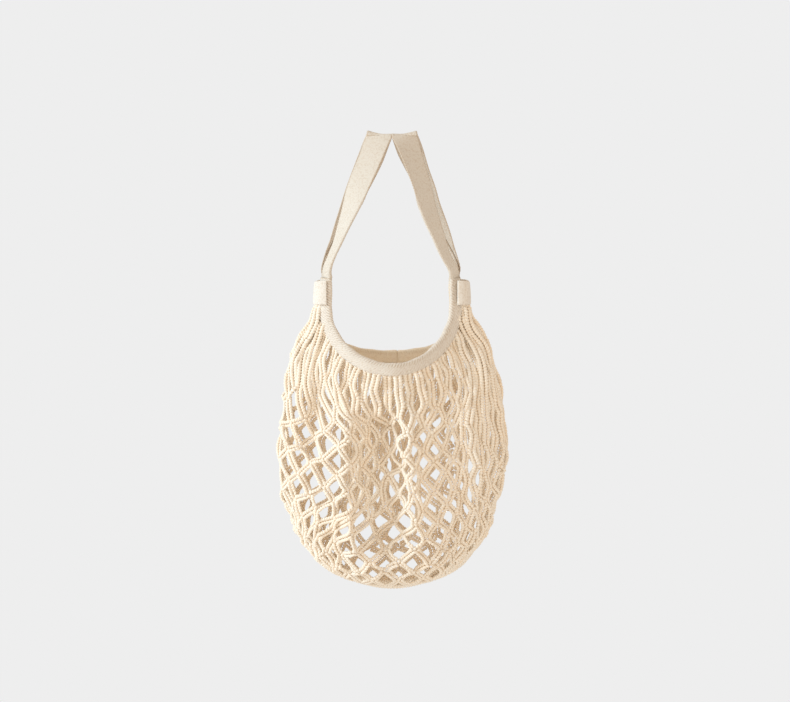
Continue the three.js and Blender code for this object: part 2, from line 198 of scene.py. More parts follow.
def read_table(rows, column, place, key="down"):
    last = len(rows) - 1
    row = 0
    while row < last - 1 and place > rows[row + 1][key]:
        row += 1

    def slope(index):
        before, after = rows[max(index - 1, 0)], rows[min(index + 1, last)]
        return (after[column] - before[column]) / (after[key] - before[key])

    start, end = rows[row], rows[row + 1]
    span = end[key] - start[key]
    x = min(max((place - start[key]) / span, 0), 1)
    return (
        (2 * x**3 - 3 * x**2 + 1) * start[column] + (x**3 - 2 * x**2 + x) * span * slope(row)
        + (3 * x**2 - 2 * x**3) * end[column] + (x**3 - x**2) * span * slope(row + 1)
    )


def square_to(along, wanted):
    return (wanted - along * wanted.dot(along)).normalized()


print("smoothstep half way:", smoothstep(0.5, 0, 1))

# %% [markdown]
# ## Sizes of the tape
# The tape is 32 mm wide and 1.8 mm thick. Flat in the straps, it closes step by step until it is
# folded in half over the edge of the net, with a round fold like a piping. Each leg of a loop
# has a table, with a row for each place on its way down: how far out it lies, how many degrees its
# front and its back have turned to the side, how many mm the back lies further out, how far both
# have spread apart, and where across the tape the crease runs.

# %% Sizes of the tape and the mouth
TAPE_WIDTH = 32 * MM
TAPE_THICKNESS = 1.8 * MM
SLOT_WIDTH = 3 * MM
SPINE_WIDTH = SLOT_WIDTH + TAPE_THICKNESS
LEG_WIDTH = (TAPE_WIDTH - SPINE_WIDTH) / 2
STRAP_DROP = 172 * MM
STRAP_TOP_RADIUS = 1.3 * MM
STRAP_SPREAD = 13 * MM
STRAP_LEAN = math.radians(16)
TOP_SKEW = math.radians(16)
PEG_CLEARANCE = 0.7 * MM
STRAP_GAP = 0.6 * MM
SIDE_RUN = 34 * MM
MOUTH_SIDE_DEPTH = 12 * MM
STRAP_SPINE = 2.6 * MM
MOUTH_BOW = 38 * MM
RIM_LEAN = 0.12
FRONT_MOUTH_DROP = 68.5 * MM
BACK_MOUTH_DROP = 62 * MM
LEFT = {
    "sign": -1, "mouth": 76 * MM, "tab_lap": 8.6 * MM, "tab_run": 16 * MM, "bend": 1.6,
}
RIGHT = {
    "sign": 1, "mouth": 72.5 * MM, "tab_lap": 5.1 * MM, "tab_run": 16 * MM, "bend": 3.2,
}
TAB_HEIGHT = 30 * MM
TAB_BELOW_JOINT = 2.5 * MM
TAB_NET_ROOM = 2 * MM
TAB_GAP = 0.3 * MM
SEAM_HATCH = 0.43 * TAPE_WIDTH
TAPE_PEAK = TAPE_WIDTH / 2 * math.sin(STRAP_LEAN) + TAPE_THICKNESS / 2 + PEG_CLEARANCE
STRAP_TOP_X = TAPE_WIDTH / 2 * math.cos(STRAP_LEAN) * math.cos(TOP_SKEW) + STRAP_GAP
MOUTH_TOP = -STRAP_DROP - SIDE_RUN
UP = Vector((0, 0, 1))

LEG_COLUMNS = ("down", "out", "turn", "back", "shift", "spread", "crease")
LEFT_LEG = table(LEG_COLUMNS, (
    (0, 0, 17, -17, 0, 0, 0.66),
    (0.07, 0.083, 22, -10, 0, 0.15, 0.66),
    (0.162, 0.187, 26, 8, 0, 0.38, 0.65),
    (0.316, 0.379, 30, 25, 0.3, 0.7, 0.6),
    (0.415, 0.49, 36, 36, 1.5, 0.85, 0.5),
    (0.532, 0.596, 46, 47, 3.6, 0.97, 0.36),
    (0.64, 0.7, 52, 53, 4.6, 1, 0.22),
    (0.748, 0.811, 61, 61, 5, 0.95, 0.1),
    (0.847, 0.929, 67, 66, 4.6, 0.7, 0.03),
    (0.937, 0.998, 62, 60, 2.6, 0.33, 0),
    (1, 1, 40, 38, 0, 0, 0),
))
RIGHT_LEG = table(LEG_COLUMNS, (
    (0, 0, 18, -17, 0, 0, 0.66),
    (0.06, 0.07, 28, -8, 0, 0.15, 0.66),
    (0.143, 0.164, 37, 16, 0.3, 0.4, 0.64),
    (0.25, 0.277, 42, 33, 1.5, 0.62, 0.6),
    (0.37, 0.397, 46, 43, 4.2, 0.78, 0.54),
    (0.477, 0.474, 47, 47, 6.2, 0.9, 0.46),
    (0.577, 0.56, 47, 48, 7.8, 1, 0.36),
    (0.7, 0.679, 48, 50, 8.8, 1, 0.2),
    (0.8, 0.776, 52, 54, 8.8, 0.92, 0.1),
    (0.89, 0.898, 60, 60, 7.2, 0.65, 0.03),
    (0.95, 0.975, 57, 57, 4, 0.35, 0),
    (1, 1, 40, 38, 0, 0, 0),
))
print("top of the straps in mm:", round(TAPE_PEAK / MM, 2))

# %% [markdown]
# ## One strip of tape
# A strip starts as a flat bmesh grid: one direction runs along the tape and the other across it.
# At each step along, a station says where the tape is, which way it faces, where across it the
# crease is and how tight, and the grid's row is bent to that section. Its relief is added along the
# face of the cloth, with painted shade in its troughs kept at each point, and a Solidify modifier
# gives the wall. The flat length and width go into a UV map, so the weave follows the cloth through
# every fold.

# %% Tape section and strip
ACROSS_STEPS = 32
EDGE_SHARE = 0.45


def section_points(station, relief, distance):
    """The tape's cross-section as points from its first edge to its second."""
    point, across, out, crease, spine = station
    fold_run = spine * math.pi / 2

    def heading(place):
        share = min(max((place - crease * TAPE_WIDTH) / (fold_run / 2), -1), 1)
        return math.pi / 2 * (1 + math.sin(share * math.pi / 2))

    step = TAPE_WIDTH / ACROSS_STEPS
    half = ACROSS_STEPS // 2
    line = {half: Vector((0, 0, 0))}
    for way in (-1, 1):
        at = Vector((0, 0, 0))
        for index in range(half):
            angle = heading(way * (index + 0.5) * step)
            at = at + (across * math.cos(angle) - out * math.sin(angle)) * (way * step)
            line[half + way * (index + 1)] = at.copy()
    points = []
    for index in range(ACROSS_STEPS + 1):
        place = (index - half) * step
        angle = heading(place)
        face = out * math.cos(angle) + across * math.sin(angle)
        # The relief also gives the painted shade of its troughs.
        height, groove_shade = relief(distance, place)
        points.append((point + line[index] + face * height, groove_shade))
    return points


def near_edge(place):
    return smoothstep(abs(place), SEAM_HATCH, TAPE_WIDTH / 2)


def lengths_along(points):
    lengths = [0]
    for before, after in zip(points, points[1:]):
        lengths.append(lengths[-1] + (after - before).length)
    return lengths


def lay_cloth_map(bm, place_of):
    cloth = bm.loops.layers.uv.new("cloth")
    for face in bm.faces:
        for loop in face.loops:
            loop[cloth].uv = place_of[loop.vert]


def add_wall(piece):
    wall = piece.modifiers.new("wall", "SOLIDIFY")
    wall.thickness = TAPE_THICKNESS
    wall.offset = 0
    return wall


def strip_of_tape(name, stations, relief, material):
    lengths = lengths_along([station[0] for station in stations])
    rows = [section_points(station, relief, distance)
            for station, distance in zip(stations, lengths)]
    bm = bmesh.new()
    edge_weight = bm.verts.layers.deform.verify()
    # Painted shade of the relief's troughs, kept on each point for the material.
    groove_shade = bm.verts.layers.float.new("groove_shade")
    bmesh.ops.create_grid(bm, x_segments=len(rows) - 1, y_segments=ACROSS_STEPS, size=0.5)
    place_of = {}
    for vert in bm.verts:
        along = round((vert.co.x + 0.5) * (len(rows) - 1))
        across = round((vert.co.y + 0.5) * ACROSS_STEPS)
        place_of[vert] = (lengths[along], TAPE_WIDTH * across / ACROSS_STEPS)
        vert.co, vert[groove_shade] = rows[along][across]
        vert[edge_weight][0] = EDGE_SHARE if across in (0, ACROSS_STEPS) else 1
    lay_cloth_map(bm, place_of)
    strip = object_from(bm, name, material)
    strip.vertex_groups.new(name="thickness")
    add_wall(strip).vertex_group = "thickness"
    print(name, "length in mm:", round(lengths[-1] / MM), "faces:", len(strip.data.polygons))
    return strip, lengths[-1]


# %% [markdown]
# ## Cotton, as node groups
# Every piece is the same undyed cotton, so two effects are shared: the slow change of tone over
# the cloth, with darker specks and painted shade in the grooves, and the fine fuzz of the fibres.
# Each is a node group with its own inputs, used by the tape and by the cords with different values.
# The weave of the tape is a third group that reads the cloth's own UV map and gives its relief and
# the painted shade in its low places.

# %% Node group helpers


def new_group(name, inputs, outputs):
    group = bpy.data.node_groups.new(name, "ShaderNodeTree")
    for socket, kind, value in inputs:
        made = group.interface.new_socket(name=socket, in_out="INPUT", socket_type=kind)
        if value is not None:
            made.default_value = value
    for socket, kind in outputs:
        group.interface.new_socket(name=socket, in_out="OUTPUT", socket_type=kind)
    start = group.nodes.new("NodeGroupInput")
    end = group.nodes.new("NodeGroupOutput")
    return group, start, end


def math_node(tree, operation, *values):
    node = tree.nodes.new("ShaderNodeMath")
    node.operation = operation
    for index, value in enumerate(values):
        if isinstance(value, (int, float)):
            node.inputs[index].default_value = value
        else:
            tree.links.new(value, node.inputs[index])
    return node.outputs[0]


def mix_colour(tree, share, first, second, blend="MIX"):
    node = tree.nodes.new("ShaderNodeMix")
    node.data_type = "RGBA"
    node.blend_type = blend
    for socket, value in (("Factor_Float", share), ("A_Color", first), ("B_Color", second)):
        target = next(item for item in node.inputs if item.identifier == socket)
        if isinstance(value, bpy.types.NodeSocket):
            tree.links.new(value, target)
        else:
            target.default_value = value
    return next(item for item in node.outputs if item.identifier == "Result_Color")


def cotton_tone_group():
    """Cream drifting slowly between a lighter and a warmer tone, with painted shade in the grooves.
    """
    group, start, end = new_group(
        "cotton_tone",
        [("Vector", "NodeSocketVector", None), ("Light", "NodeSocketColor", (0.9, 0.85, 0.72, 1)),
         ("Warm", "NodeSocketColor", (0.8, 0.7, 0.54, 1)),
         ("Deep", "NodeSocketColor", (0.6, 0.44, 0.26, 1)), ("Groove", "NodeSocketFloat", 0.0),
         ("Speckle", "NodeSocketFloat", 0.3)],
        [("Color", "NodeSocketColor")],
    )
    vector = start.outputs["Vector"]
    drift = new_node(group, "ShaderNodeTexNoise", Vector=vector, Scale=22, Detail=3)
    above = math_node(group, "SUBTRACT", drift.outputs["Fac"], 0.3)
    share = math_node(group, "MULTIPLY", above, 1.6)
    cloth = mix_colour(group, share, start.outputs["Light"], start.outputs["Warm"])
    grain = new_node(group, "ShaderNodeTexNoise", Vector=vector, Scale=480, Detail=2)
    above = math_node(group, "SUBTRACT", grain.outputs["Fac"], 0.47)
    most = math_node(group, "MULTIPLY", start.outputs["Speckle"], 4.0)
    specks = math_node(group, "MULTIPLY", math_node(group, "MAXIMUM", above, 0.0), most)
    # Darker specks at random, and painted shade in the grooves.
    low = math_node(group, "ADD", specks, start.outputs["Groove"])
    deep_share = math_node(group, "MINIMUM", low, 1.0)
    grooved = mix_colour(group, deep_share, cloth, start.outputs["Deep"])
    feed(group, end, Color=grooved)
    return group


def fuzz_group():
    """Height of the loose fibres."""
    group, start, end = new_group(
        "cotton_fuzz",
        [("Vector", "NodeSocketVector", None), ("Scale", "NodeSocketFloat", 900.0)],
        [("Height", "NodeSocketFloat")],
    )
    noise = new_node(group, "ShaderNodeTexNoise", Vector=start.outputs["Vector"],
                     Scale=start.outputs["Scale"], Detail=4, Roughness=0.65)
    feed(group, end, Height=noise.outputs["Fac"])
    return group


def weave_group():
    """Plain weave on the cloth's UV map in metres: thick weft ribs, fine warp, painted shade in low
    places.
    """
    group, start, end = new_group(
        "tape_weave",
        [("Cloth", "NodeSocketVector", None), ("Weft pitch", "NodeSocketFloat", 0.0016),
         ("Warp pitch", "NodeSocketFloat", 0.0011)],
        [("Height", "NodeSocketFloat"), ("Groove", "NodeSocketFloat")],
    )
    split = new_node(group, "ShaderNodeSeparateXYZ", Vector=start.outputs["Cloth"])
    turn = 2 * math.pi
    weft_place = math_node(group, "DIVIDE", split.outputs["X"], start.outputs["Weft pitch"])
    warp_place = math_node(group, "DIVIDE", split.outputs["Y"], start.outputs["Warp pitch"])
    column = math_node(group, "FLOOR", warp_place)
    shifted = math_node(group, "ADD", weft_place, math_node(group, "MULTIPLY", column, 0.5))
    weft = math_node(group, "COSINE", math_node(group, "MULTIPLY", shifted, turn))
    warp = math_node(group, "COSINE", math_node(group, "MULTIPLY", warp_place, turn))
    both = math_node(group, "ADD", math_node(group, "MULTIPLY", weft, 0.3),
                     math_node(group, "MULTIPLY", warp, -0.2))
    height = math_node(group, "ADD", both, 0.5)
    # Painted shade in the weave's low places.
    low = math_node(group, "SUBTRACT", 0.42, height)
    groove_shade = math_node(group, "MULTIPLY", math_node(group, "MAXIMUM", low, 0.0), 1.6)
    feed(group, end, Height=height, Groove=groove_shade)
    return group


cotton_tone = cotton_tone_group()
cotton_fuzz = fuzz_group()
tape_weave = weave_group()
print("node groups:", [group.name for group in bpy.data.node_groups])

# %% [markdown]
# ## The two cotton finishes
# The tape is dense and a little smoother, the knitted cord softer and fuzzier. Both are rough
# with a faint sheen from the fibre ends. The Principled shader stays in each material, and the
# groups feed only its colour and its bump. Each piece has its own copy of the same cream, lighter
# or darker as painted light and shade: the straps darker, the rims and tabs lighter, the back rim
# warmest as painted bounce light, and the cords lightest, to make up for their own shadow.

# %% Tape and cord materials
# Copies of one cream, lighter or darker as painted light and shade on each piece; the inner tones
# are painted warm bounce light.
TAPE_TONES = ((0.785, 0.725, 0.64), (0.755, 0.685, 0.59), (0.58, 0.44, 0.31))
RIM_TONES = ((0.895, 0.835, 0.755), (0.865, 0.795, 0.705), (0.66, 0.52, 0.38))
SHADED_TONES = ((1.0, 0.88, 0.71), (1.0, 0.86, 0.67), (0.8, 0.62, 0.42))
CORD_TONES = ((0.99, 0.925, 0.82), (0.99, 0.885, 0.745), (0.86, 0.62, 0.38))
# Warmer tone of some cords at random, and painted warm shade on the back of the net.
WARM_TONE_AND_SHADE = (1.0, 0.82, 0.61, 1)
COTTON_SHINE = 0.2
TONE_AND_SHADE_SHARE = 0.25
CORD_SHADE = 0.36
WEAVE_SHADE = 0.6
BROAD_WEFT = 1.9 * MM
FINE_WEFT = 1.6 * MM


def place_group(tree, group, **inputs):
    node = tree.nodes.new("ShaderNodeGroup")
    node.node_tree = group
    return feed(tree, node, **inputs)


def attribute(tree, name):
    node = tree.nodes.new("ShaderNodeAttribute")
    node.attribute_name = name
    return node.outputs["Fac"]


def bump(tree, **inputs):
    return new_node(tree, "ShaderNodeBump", **inputs).outputs["Normal"]


def tape_material(name, light, warm, deep, weft_pitch, relief_shade_share):
    material, tree, surface = new_material(name, Roughness=0.88, Sheen_Weight=0.15,
                                           Specular_IOR_Level=COTTON_SHINE)
    place = tree.nodes.new("ShaderNodeTexCoord").outputs["Object"]
    cloth = tree.nodes.new("ShaderNodeUVMap")
    cloth.uv_map = "cloth"
    weave = place_group(tree, tape_weave, Cloth=cloth.outputs["UV"], Weft_pitch=weft_pitch)
    # Painted shade in the troughs of the ribs, the beads and the seam, and in the weave's low
    # places.
    relief = math_node(tree, "MULTIPLY", attribute(tree, "groove_shade"), relief_shade_share)
    low = math_node(tree, "MULTIPLY_ADD", weave.outputs["Groove"], WEAVE_SHADE, relief)
    tone = place_group(tree, cotton_tone, Vector=place, Light=(*light, 1), Warm=(*warm, 1),
                       Deep=(*deep, 1), Groove=low, Speckle=0.4)
    fuzz = place_group(tree, cotton_fuzz, Vector=place, Scale=1400.0)
    woven = bump(tree, Height=weave.outputs["Height"], Strength=0.5, Distance=0.35 * MM)
    normal = bump(tree, Height=fuzz.outputs["Height"], Strength=0.35, Distance=0.3 * MM,
                  Normal=woven)
    feed(tree, surface, Base_Color=tone.outputs["Color"], Normal=normal)
    return material


def cord_material():
    material, tree, surface = new_material("knitted_cord", Roughness=0.92, Sheen_Weight=0.2,
                                           Specular_IOR_Level=COTTON_SHINE)
    place = tree.nodes.new("ShaderNodeTexCoord").outputs["Object"]
    light, warm, deep = CORD_TONES
    # Painted shade between the legs of each stitch and at their tips.
    depth = math_node(tree, "MULTIPLY", attribute(tree, "groove_shade"), CORD_SHADE)
    tone = place_group(tree, cotton_tone, Vector=place, Light=(*light, 1), Warm=(*warm, 1),
                       Deep=(*deep, 1), Groove=depth, Speckle=0.15)
    # Random warmer cords, and painted warm shade on the back layer of the net.
    warmth = math_node(tree, "MULTIPLY", attribute(tree, "tone"), TONE_AND_SHADE_SHARE)
    shifted = mix_colour(tree, warmth, tone.outputs["Color"], WARM_TONE_AND_SHADE)
    fuzz = place_group(tree, cotton_fuzz, Vector=place, Scale=1100.0)
    normal = bump(tree, Height=fuzz.outputs["Height"], Strength=0.55, Distance=0.5 * MM)
    feed(tree, surface, Base_Color=shifted, Normal=normal)
    return material


strap_cotton = tape_material("woven_tape", *TAPE_TONES, BROAD_WEFT, relief_shade_share=0.75)
rim_cotton = tape_material("folded_tape", *RIM_TONES, FINE_WEFT, relief_shade_share=0.45)
tab_cotton = tape_material("tab_tape", *RIM_TONES, BROAD_WEFT, relief_shade_share=0.35)
# The back rim's inner face gets lighter, warmer tones as painted bounce light in its shade.
shaded_cotton = tape_material("bounce_lit_tape", *SHADED_TONES, FINE_WEFT, relief_shade_share=0.35)
cord_cotton = cord_material()
print("materials:", len(bpy.data.materials))

# %% [markdown]
# ## The rim of the mouth
# On the real bag the tape is folded in half over the gathered edge of the net and sewn through,
# so the mouth has a soft rolled band with slanting ribs. Each half of the mouth hangs in a deep
# curve. The station function gives that curve, and both halves are made by the same code. The
# back half is squarer, shows its inner face with lighter, warmer tones as painted bounce light in
# its shade, and has the seam where the tape's ends meet.

# %% Rims
RIM_STEP = 1.0 * MM
RIM_TURNS = 260
RIB_PITCH = 3.4 * MM
RIB_HEIGHT = 0.45 * MM
RIB_SLANT = 0.9
RIB_SHADE = 0.3
BEAD_PITCH = 3.4 * MM
BEAD_HEIGHT = 0.7 * MM
BEAD_SLANT = 0.7
BEAD_SHADE = 0.6
HATCH_PLACE = 4 * MM
HATCH_REACH = (1.2 * MM, 2.6 * MM)
RIM_PUFF = 0.6 * MM
LUMP_HEIGHT = 0.7 * MM
LUMP_RUNS = (7.3 * MM, 11.9 * MM)
SEAM_WIDTH = 1.2 * MM
SEAM_DEPTH = 1.4 * MM
BACK_SEAM = 151 * MM
BACK_SQUARE = 0.42
BOW_POWER = 1.8
TURN_POWER = 1.5
SIDE_TURN = math.tan(math.radians(26))
TOP_TURN = math.tan(math.radians(38))


def rim_point(angle, face):
    reach = LEFT["mouth"] if math.cos(angle) > 0 else RIGHT["mouth"]
    drop = FRONT_MOUTH_DROP if face < 0 else BACK_MOUTH_DROP
    bow = max(math.sin(angle), 0)
    hang = bow if face < 0 else bow**BACK_SQUARE
    return Vector((-math.cos(angle) * reach, face * (MOUTH_SIDE_DEPTH + MOUTH_BOW * bow**BOW_POWER),
                   MOUTH_TOP - drop * hang))


def rim_station(angle, face):
    step = 0.0005
    before = rim_point(max(angle - step, 0), face)
    after = rim_point(min(angle + step, math.pi), face)
    along = (after - before).normalized() * -face
    facing = face * (SIDE_TURN * abs(math.cos(angle)) ** TURN_POWER - RIM_LEAN * math.sin(angle))
    across = square_to(along, Vector((math.cos(angle), facing, math.sin(angle))))
    return (rim_point(angle, face), across, along.cross(across), 0, SPINE_WIDTH)


def rim_stations(face):
    curve = []
    for index in range(RIM_TURNS + 1):
        share = index / RIM_TURNS
        eased = 0.5 - 0.5 * math.cos(math.pi * index / RIM_TURNS)
        curve.append(rim_station(math.pi * (eased if face > 0 else share), face))
    straight = round(SIDE_RUN / RIM_STEP)

    def rise(end):
        run = []
        for index in range(straight, 0, -1):
            turn = lerp(SIDE_TURN, TOP_TURN, smoothstep(index / straight, 0.3, 1))
            along = Vector((0, 0, math.copysign(1, end[1].cross(end[2]).z)))
            across = Vector((math.copysign(1, end[1].x), face * turn, 0)).normalized()
            run.append((end[0] + UP * (SIDE_RUN * index / straight), across,
                        along.cross(across), *end[3:]))
        return run

    stations = rise(curve[0]) + curve + rise(curve[-1])[::-1]
    return stations[::-1] if face > 0 else stations


def rim_relief(seam):
    """Relief of a rim: slanting ribs, a beaded hatch along the fold, soft lumps, a seam, and their
    painted shade.
    """
    def relief(distance, place):
        away = abs(place)
        rib = math.cos(2 * math.pi * (distance + RIB_SLANT * away) / RIB_PITCH)
        bead = math.cos(2 * math.pi * (distance + BEAD_SLANT * away) / BEAD_PITCH)
        edge = near_edge(place) + 1 - smoothstep(abs(away - HATCH_PLACE), *HATCH_REACH)
        puff = RIM_PUFF * math.sin(math.pi * min(away / (TAPE_WIDTH / 2), 1)) ** 2
        lumps = LUMP_HEIGHT
        for run in LUMP_RUNS:
            lumps *= math.sin(distance / run)
        sewn = math.exp(-((distance - seam) / SEAM_WIDTH) ** 2)
        height = RIB_HEIGHT * rib + BEAD_HEIGHT * edge * bead + puff + lumps - SEAM_DEPTH * sewn
        # Painted shade in the troughs of the ribs and the beads, and in the dent of the seam.
        shade = lerp(RIB_SHADE * (1 - rib), BEAD_SHADE * (1 - bead), edge)
        return height, max(shade, 2 * sewn)
    return relief


rims = {}
for name, face, seam, material in (("front_rim", -1, 0, rim_cotton),
                                   ("back_rim", 1, BACK_SEAM, shaded_cotton)):
    rims[name] = strip_of_tape(name, rim_stations(face), rim_relief(seam), material)

# %% [markdown]
# ## The strap loops
# Above the mouth the tape runs free: up from the front, over the peg and down to the back. It
# is flat over the peg and turns to the side on its way down, and a crease that starts at its inner
# edge folds it in half by the time it reaches the rim. The route is the solid's own.

# %% Straps
LEG_STEPS = 150
TOP_STEPS = 14
SOFT_REACH = 7
SPINE_OPENS = 0.85
LEAN_FADE = (0.1, 0.6)


def leg_place(side, rows, down, face):
    spread = read_table(rows, "spread", down)
    depth = lerp(STRAP_TOP_RADIUS, MOUTH_SIDE_DEPTH, down) + STRAP_SPREAD * spread
    shift = read_table(rows, "shift", down) * MM if face > 0 else 0
    out = lerp(STRAP_TOP_X, side["mouth"], read_table(rows, "out", down)) + shift
    height = lerp(TAPE_PEAK - STRAP_TOP_RADIUS, -STRAP_DROP, down)
    return {
        "point": Vector((side["sign"] * out, face * depth, height)),
        "turn": math.radians(read_table(rows, "turn" if face < 0 else "back", down)),
        "crease": read_table(rows, "crease", down),
        "spine": lerp(STRAP_SPINE, SPINE_WIDTH, smoothstep(down, SPINE_OPENS, 1)),
        "lean": STRAP_LEAN * (1 - smoothstep(down, *LEAN_FADE)),
        "upright": down == 1,
    }


def strap_route(side, rows):
    route = [leg_place(side, rows, step / LEG_STEPS, -1) for step in range(LEG_STEPS, -1, -1)]
    top = TAPE_PEAK - STRAP_TOP_RADIUS
    for step in range(1, TOP_STEPS):
        angle = math.pi * step / TOP_STEPS
        point = Vector((side["sign"] * STRAP_TOP_X, -STRAP_TOP_RADIUS * math.cos(angle),
                        top + STRAP_TOP_RADIUS * math.sin(angle)))
        route.append({"point": point, "turn": None, "crease": rows[0]["crease"],
                      "spine": STRAP_SPINE, "lean": STRAP_LEAN, "upright": False})
    route += [leg_place(side, rows, step / LEG_STEPS, 1) for step in range(LEG_STEPS + 1)]
    return route[::-1] if side["sign"] < 0 else route


def strap_stations(side, rows):
    route = strap_route(side, rows)
    stations = []
    for index, place in enumerate(route):
        before = route[max(index - 1, 0)]["point"]
        after = route[min(index + 1, len(route) - 1)]["point"]
        along = (after - before).normalized()
        if place["upright"]:
            along = Vector((0, 0, math.copysign(1, along.z)))
        lean = place["lean"]
        wanted = Vector((-side["sign"] * math.cos(lean), 0, -math.sin(lean)))
        level = square_to(along, wanted)
        face = along.cross(level)
        if place["turn"] is None:
            flat = level * math.cos(TOP_SKEW) + Vector((0, -math.sin(TOP_SKEW), 0))
            across = square_to(along, flat)
        else:
            across = level * math.cos(place["turn"]) + face * math.sin(place["turn"])
        stations.append((place["point"], along, across, place["crease"], place["spine"]))
    soft = []
    for index, (point, along, _, crease, spine) in enumerate(stations):
        near = stations[max(index - SOFT_REACH, 0):index + SOFT_REACH + 1]
        across = square_to(along, sum((item[2] for item in near), Vector()))
        soft.append((point, across, along.cross(across), crease, spine))
    return soft


def strap_relief(distance, place):
    edge = near_edge(place)
    bead = math.cos(2 * math.pi * distance / BEAD_PITCH)
    # Painted shade in the troughs of the beads along both edges.
    return 0.5 * BEAD_HEIGHT * edge * bead, edge * (0.65 - 0.35 * bead)


straps = {}
for name, side, rows in (("left_loop", LEFT, LEFT_LEG), ("right_loop", RIGHT, RIGHT_LEG)):
    straps[name] = strip_of_tape(name, strap_stations(side, rows), strap_relief, strap_cotton)

# %% [markdown]
# ## The side tabs
# Where both halves of the rim meet the straps, a short length of the same tape is bent round the
# gathered net and sewn down. The grid is wrapped round the tab's outline, and a light swell
# between its edges keeps it from looking like sheet metal.

# %% Tabs
TAB_STEPS = 60
TAB_ROWS = 30
TAB_INNER_DEPTH = MOUTH_SIDE_DEPTH + TAPE_THICKNESS + TAB_GAP
TAB_SWELL = 0.5 * MM
TAB_FLARE = 1.6 * MM
TAB_DIP = 3.5 * MM
TAB_RIB_HEIGHT = 0.22 * MM
TAB_RIB_PITCH = 2.3 * MM


def tab_path(side):
    """Middle line of the tab seen from above."""
    depth = TAB_INNER_DEPTH + TAPE_THICKNESS / 2
    start = side["mouth"] + LEG_WIDTH - side["tab_lap"]
    points = []
    for index in range(TAB_STEPS + 1):
        angle = math.pi * (index / TAB_STEPS - 0.5)
        run = math.cos(angle) ** (2 / side["bend"])
        points.append(Vector((start + side["tab_run"] * run, depth * math.sin(angle))))
    return points


def side_tab(name, side):
    points = tab_path(side)
    lengths = lengths_along(points)
    bm = bmesh.new()
    bmesh.ops.create_grid(bm, x_segments=TAB_STEPS, y_segments=TAB_ROWS, size=0.5)
    place_of = {}
    foot = -STRAP_DROP - TAB_BELOW_JOINT - TAB_HEIGHT
    for vert in bm.verts:
        index, up = round((vert.co.x + 0.5) * TAB_STEPS), vert.co.y + 0.5
        along = points[min(index + 1, TAB_STEPS)] - points[max(index - 1, 0)]
        normal = Vector((along.y, -along.x)).normalized()
        nose = 1 - abs(2 * index / TAB_STEPS - 1)
        swell = TAB_SWELL * (math.sin(math.pi * up) ** 0.5 - 1) + TAB_FLARE * nose * (0.5 - up)
        rib = TAB_RIB_HEIGHT * math.cos(2 * math.pi * lengths[index] / TAB_RIB_PITCH)
        spot = points[index] + normal * (swell + rib)
        place_of[vert] = (TAB_HEIGHT * up, lengths[index])
        height = TAB_HEIGHT * up - TAB_DIP * nose**2 * smoothstep(up, 0.5, 1)
        vert.co = Vector((side["sign"] * spot.x, spot.y, foot + height))
    lay_cloth_map(bm, place_of)
    if side["sign"] < 0:
        bmesh.ops.reverse_faces(bm, faces=bm.faces)
    tab = object_from(bm, name, tab_cotton)
    add_wall(tab)
    print(name, "length in mm:", round(lengths[-1] / MM, 1))
    return tab, lengths[-1]


tabs = {}
for name, side in (("left_tab", LEFT), ("right_tab", RIGHT)):
    tabs[name] = side_tab(name, side)

# %% [markdown]
# ## The form of the hanging net
# The net is a tube of cords that is gathered into the mouth and closed by a short seam at its
# foot. Empty, it hangs in deep folds. One function gives the middle of its wall: how far round
# and how far down go in, and a point comes out. Short tables hold its outline, its folds and how
# the cords crowd round it. The net is open in diamonds, but it is pulled shut down its right side,
# under the left tab and under both rims, where so much net is gathered into so little tape.

# %% Sizes of the net
BAG_HALF_WIDTH = 141.5 * MM
BAG_HALF_DEPTH = 62 * MM
NET_SIDE_START = 3 * MM
NET_FOOT = -561.5 * MM
NET_SIDE_FOOT = -560 * MM
NET_TUCK = 6 * MM
SLOT_EXIT = 0.5 * MM
GATHER_SHARE = 2 / 96
FADE_IN = 0.3
SIDE_FADE_IN = 0.13
SIDE_POWER = 8
TOP_ROUND = 2
FOOT_ROUND = 1.8
FOLD_EASE = 0.15

NET_ROWS = table(("down", "width", "depth", "side", "centre"), (
    (0, 0.66, 0.77, 0, 0),
    (0.125, 0.825, 0.86, 0.112, 0.134),
    (0.25, 0.925, 0.93, 0.245, 0.265),
    (0.375, 0.975, 0.985, 0.375, 0.4),
    (0.5, 0.993, 1, 0.51, 0.538),
    (0.625, 0.96, 0.98, 0.645, 0.685),
    (0.75, 0.87, 0.9, 0.765, 0.83),
    (0.875, 0.76, 0.68, 0.84, 0.935),
    (0.95, 0.69, 0.36, 0.875, 0.983),
    (1, 0.63, 0.04, 0.9, 0.995),
))
NET_FOLDS = table(("face", "top", "foot", "width", "deep", "from", "to"), (
    (-1, -0.12, -0.04, 0.19, 0.6, 0.03, 0.8),
    (-1, -0.44, -0.36, 0.08, -0.2, 0.08, 0.85),
    (-1, 0.09, 0.25, 0.08, -0.25, 0.04, 0.74),
    (-1, -0.72, -0.74, 0.1, 0.3, 0.0, 0.5),
    (-1, 0.5, 0.6, 0.12, 0.15, 0.05, 0.85),
    (1, -0.25, -0.2, 0.2, 0.3, 0.06, 0.85),
    (1, 0.4, 0.42, 0.16, 0.25, 0.06, 0.85),
))
FRONT_SPACING = table(("cords", "turn"), (
    (0, 0),
    (0.074, 0.135),
    (0.148, 0.25),
    (0.259, 0.376),
    (0.333, 0.418),
    (0.389, 0.453),
    (0.481, 0.522),
    (0.593, 0.585),
    (0.667, 0.654),
    (0.778, 0.742),
    (0.889, 0.845),
    (1, 1),
))
BACK_SPACING = table(("cords", "turn"), (
    (0, 0),
    (0.1, 0.15),
    (0.25, 0.33),
    (0.37, 0.39),
    (0.65, 0.55),
    (0.74, 0.64),
    (0.86, 0.8),
    (1, 1),
))
